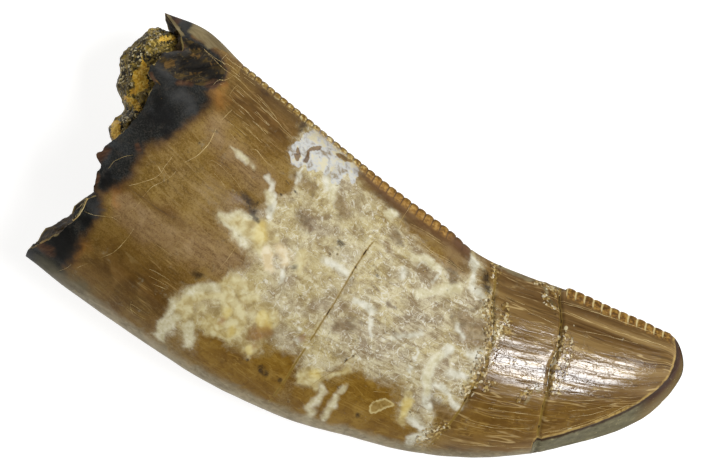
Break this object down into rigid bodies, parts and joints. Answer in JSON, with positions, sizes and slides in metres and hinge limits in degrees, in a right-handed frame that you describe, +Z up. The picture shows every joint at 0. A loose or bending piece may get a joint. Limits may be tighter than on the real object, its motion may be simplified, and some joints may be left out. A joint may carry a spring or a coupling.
{
  "type": "fossil tooth",
  "caption": "Recurved, flattened carnivorous dinosaur tooth crown with a serrated rear edge, a worn tip and a broken base whose pulp cavity holds dark rock; lies on its side.",
  "frame": {"origin": "On the surface that the tooth rests on, under the middle of the tooth's length and width.", "axes": "+X from the broken base to the worn tip, +Y to the serrated rear edge, +Z up, out of the side that the picture shows."},
  "size_m": [0.0286, 0.0146, 0.007],
  "materials": {
    "enamel": "polished fossil enamel, brown with cream mineral mottling and a blue-black broken base",
    "rock_matrix": "rough dark grainy rock with golden mineral patches"
  },
  "bodies": {
    "root": {"tooth_crown": "enamel", "cavity_matrix": "rock_matrix"}
  },
  "joints": []
}
